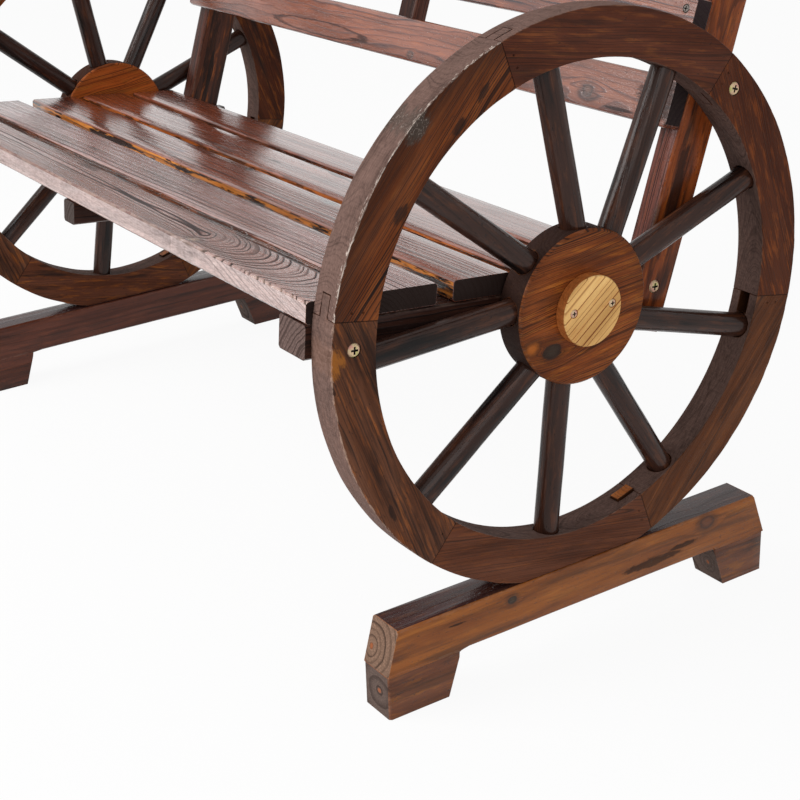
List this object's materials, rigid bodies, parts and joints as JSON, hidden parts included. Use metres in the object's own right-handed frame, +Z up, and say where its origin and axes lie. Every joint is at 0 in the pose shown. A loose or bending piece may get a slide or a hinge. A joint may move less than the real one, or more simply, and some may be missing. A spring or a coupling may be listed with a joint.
{
  "type": "wagon wheel bench",
  "caption": "Garden bench of burnt softwood: a spoked wheel stands on a footed beam at each end and carries a sloping slatted seat and a raked slatted back.",
  "frame": {"origin": "on the ground under the middle of the bench", "axes": "+X along the bench, to the right as seen from the front; +Y from the front to the back; +Z up"},
  "size_m": [1.1188, 0.5865, 0.8076],
  "materials": {
    "rim_wood": "burnt softwood, rough sawn faces, thin lacquer",
    "spoke_wood": "nearly black burnt round stock, satin lacquer",
    "hub_wood": "burnt softwood with worn edges, satin lacquer",
    "cap_wood": "pale pine, satin lacquer",
    "base_wood": "burnt softwood, satin lacquer",
    "seat_wood": "burnt softwood, glossy lacquer",
    "frame_wood": "dark burnt softwood, satin lacquer",
    "back_wood": "burnt softwood, glossy lacquer",
    "zinc_screws": "yellow zinc plate",
    "dark_screws": "dull dark steel"
  },
  "bodies": {
    "root": {"right_felloe_1": "rim_wood", "right_felloe_2": "rim_wood", "right_felloe_3": "rim_wood", "right_felloe_4": "rim_wood", "right_felloe_5": "rim_wood", "right_felloe_6": "rim_wood", "left_felloe_1": "rim_wood", "left_felloe_2": "rim_wood", "left_felloe_3": "rim_wood", "left_felloe_4": "rim_wood", "left_felloe_5": "rim_wood", "left_felloe_6": "rim_wood", "right_spoke_1": "spoke_wood", "right_spoke_2": "spoke_wood", "right_spoke_3": "spoke_wood", "right_spoke_4": "spoke_wood", "right_spoke_5": "spoke_wood", "right_spoke_6": "spoke_wood", "right_spoke_7": "spoke_wood", "right_spoke_8": "spoke_wood", "right_spoke_9": "spoke_wood", "left_spoke_1": "spoke_wood", "left_spoke_2": "spoke_wood", "left_spoke_3": "spoke_wood", "left_spoke_4": "spoke_wood", "left_spoke_5": "spoke_wood", "left_spoke_6": "spoke_wood", "left_spoke_7": "spoke_wood", "left_spoke_8": "spoke_wood", "left_spoke_9": "spoke_wood", "right_hub": "hub_wood", "left_hub": "hub_wood", "right_hub_cap": "cap_wood", "left_hub_cap": "cap_wood", "right_base_beam": "base_wood", "left_base_beam": "base_wood", "right_front_foot": "base_wood", "right_back_foot": "base_wood", "left_front_foot": "base_wood", "left_back_foot": "base_wood", "seat_slat_1": "seat_wood", "seat_slat_2": "seat_wood", "seat_slat_3": "seat_wood", "seat_slat_4": "seat_wood", "seat_slat_5": "seat_wood", "right_seat_rail": "frame_wood", "left_seat_rail": "frame_wood", "middle_bearer": "frame_wood", "right_back_post": "frame_wood", "left_back_post": "frame_wood", "back_batten": "frame_wood", "back_slat_1": "back_wood", "back_slat_2": "back_wood", "back_slat_3": "back_wood", "back_slat_4": "back_wood", "frame_screws": "zinc_screws", "cap_screws": "zinc_screws", "board_screws": "dark_screws", "base_screws": "dark_screws", "rim_brads": "dark_screws"}
  },
  "joints": []
}
